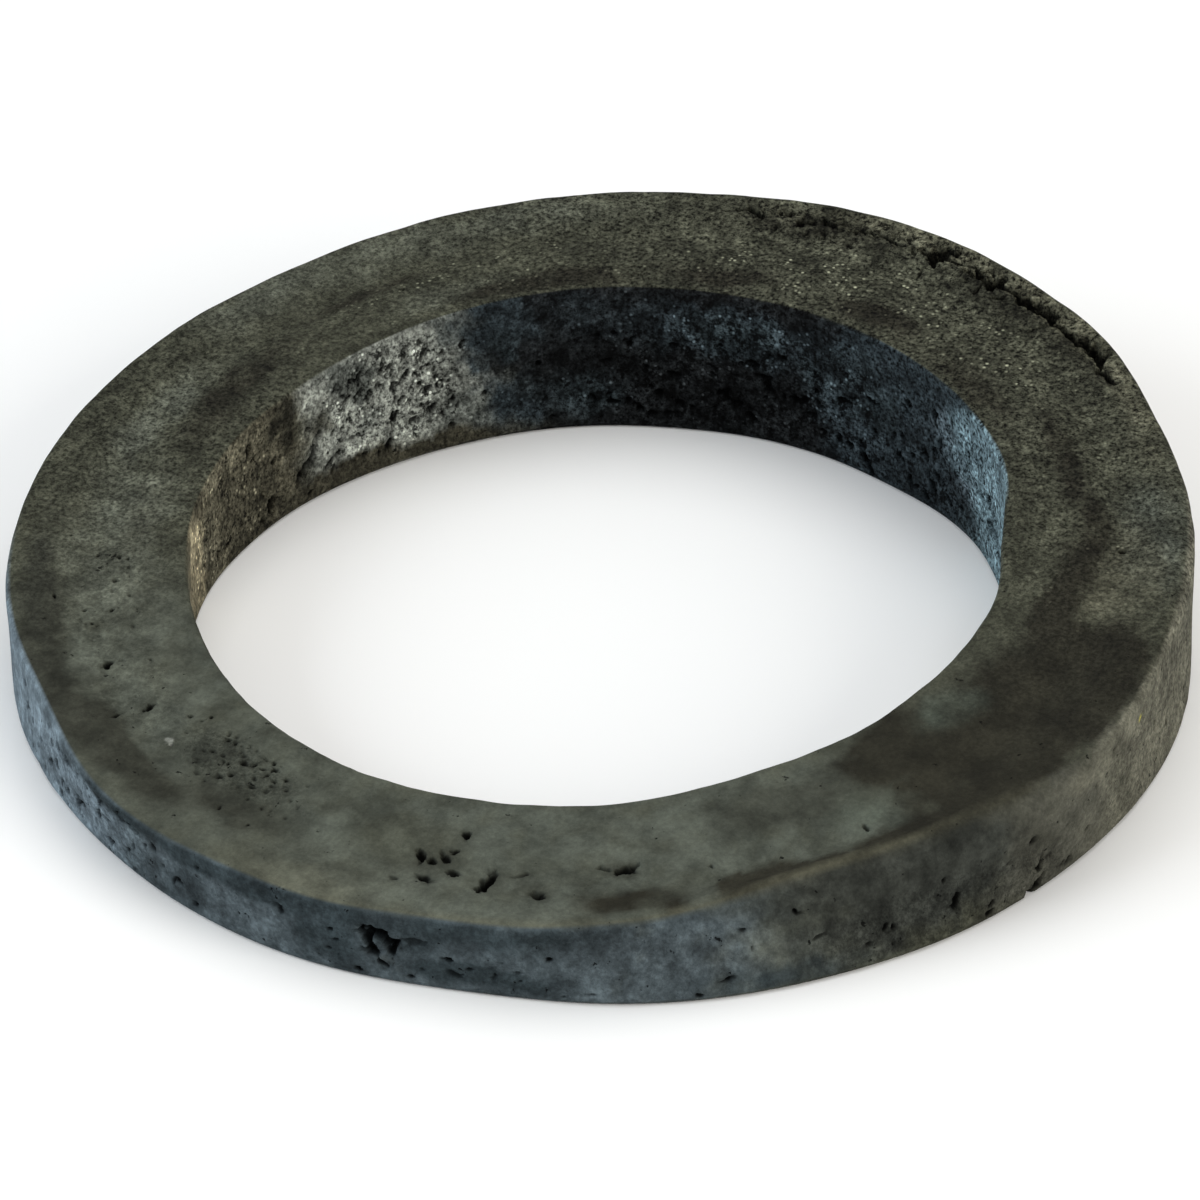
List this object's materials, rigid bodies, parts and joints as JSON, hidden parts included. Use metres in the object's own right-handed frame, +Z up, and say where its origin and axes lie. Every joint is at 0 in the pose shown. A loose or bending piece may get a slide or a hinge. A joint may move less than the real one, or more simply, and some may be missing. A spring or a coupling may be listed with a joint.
{
  "type": "overflow gasket",
  "caption": "Tapered ring of soft cellular rubber that seals a bath overflow elbow against the sloping back of the bath.",
  "frame": {"origin": "centre of the flat face that lies against the overflow elbow's flange", "axes": "+Z up through the bore from the flat face to the sloping face; +Y towards the thick side"},
  "size_m": [0.0837, 0.0833, 0.0135],
  "materials": {
    "sponge_rubber": "matte, open-pored, worn"
  },
  "bodies": {
    "root": {"overflow_gasket": "sponge_rubber"}
  },
  "joints": []
}
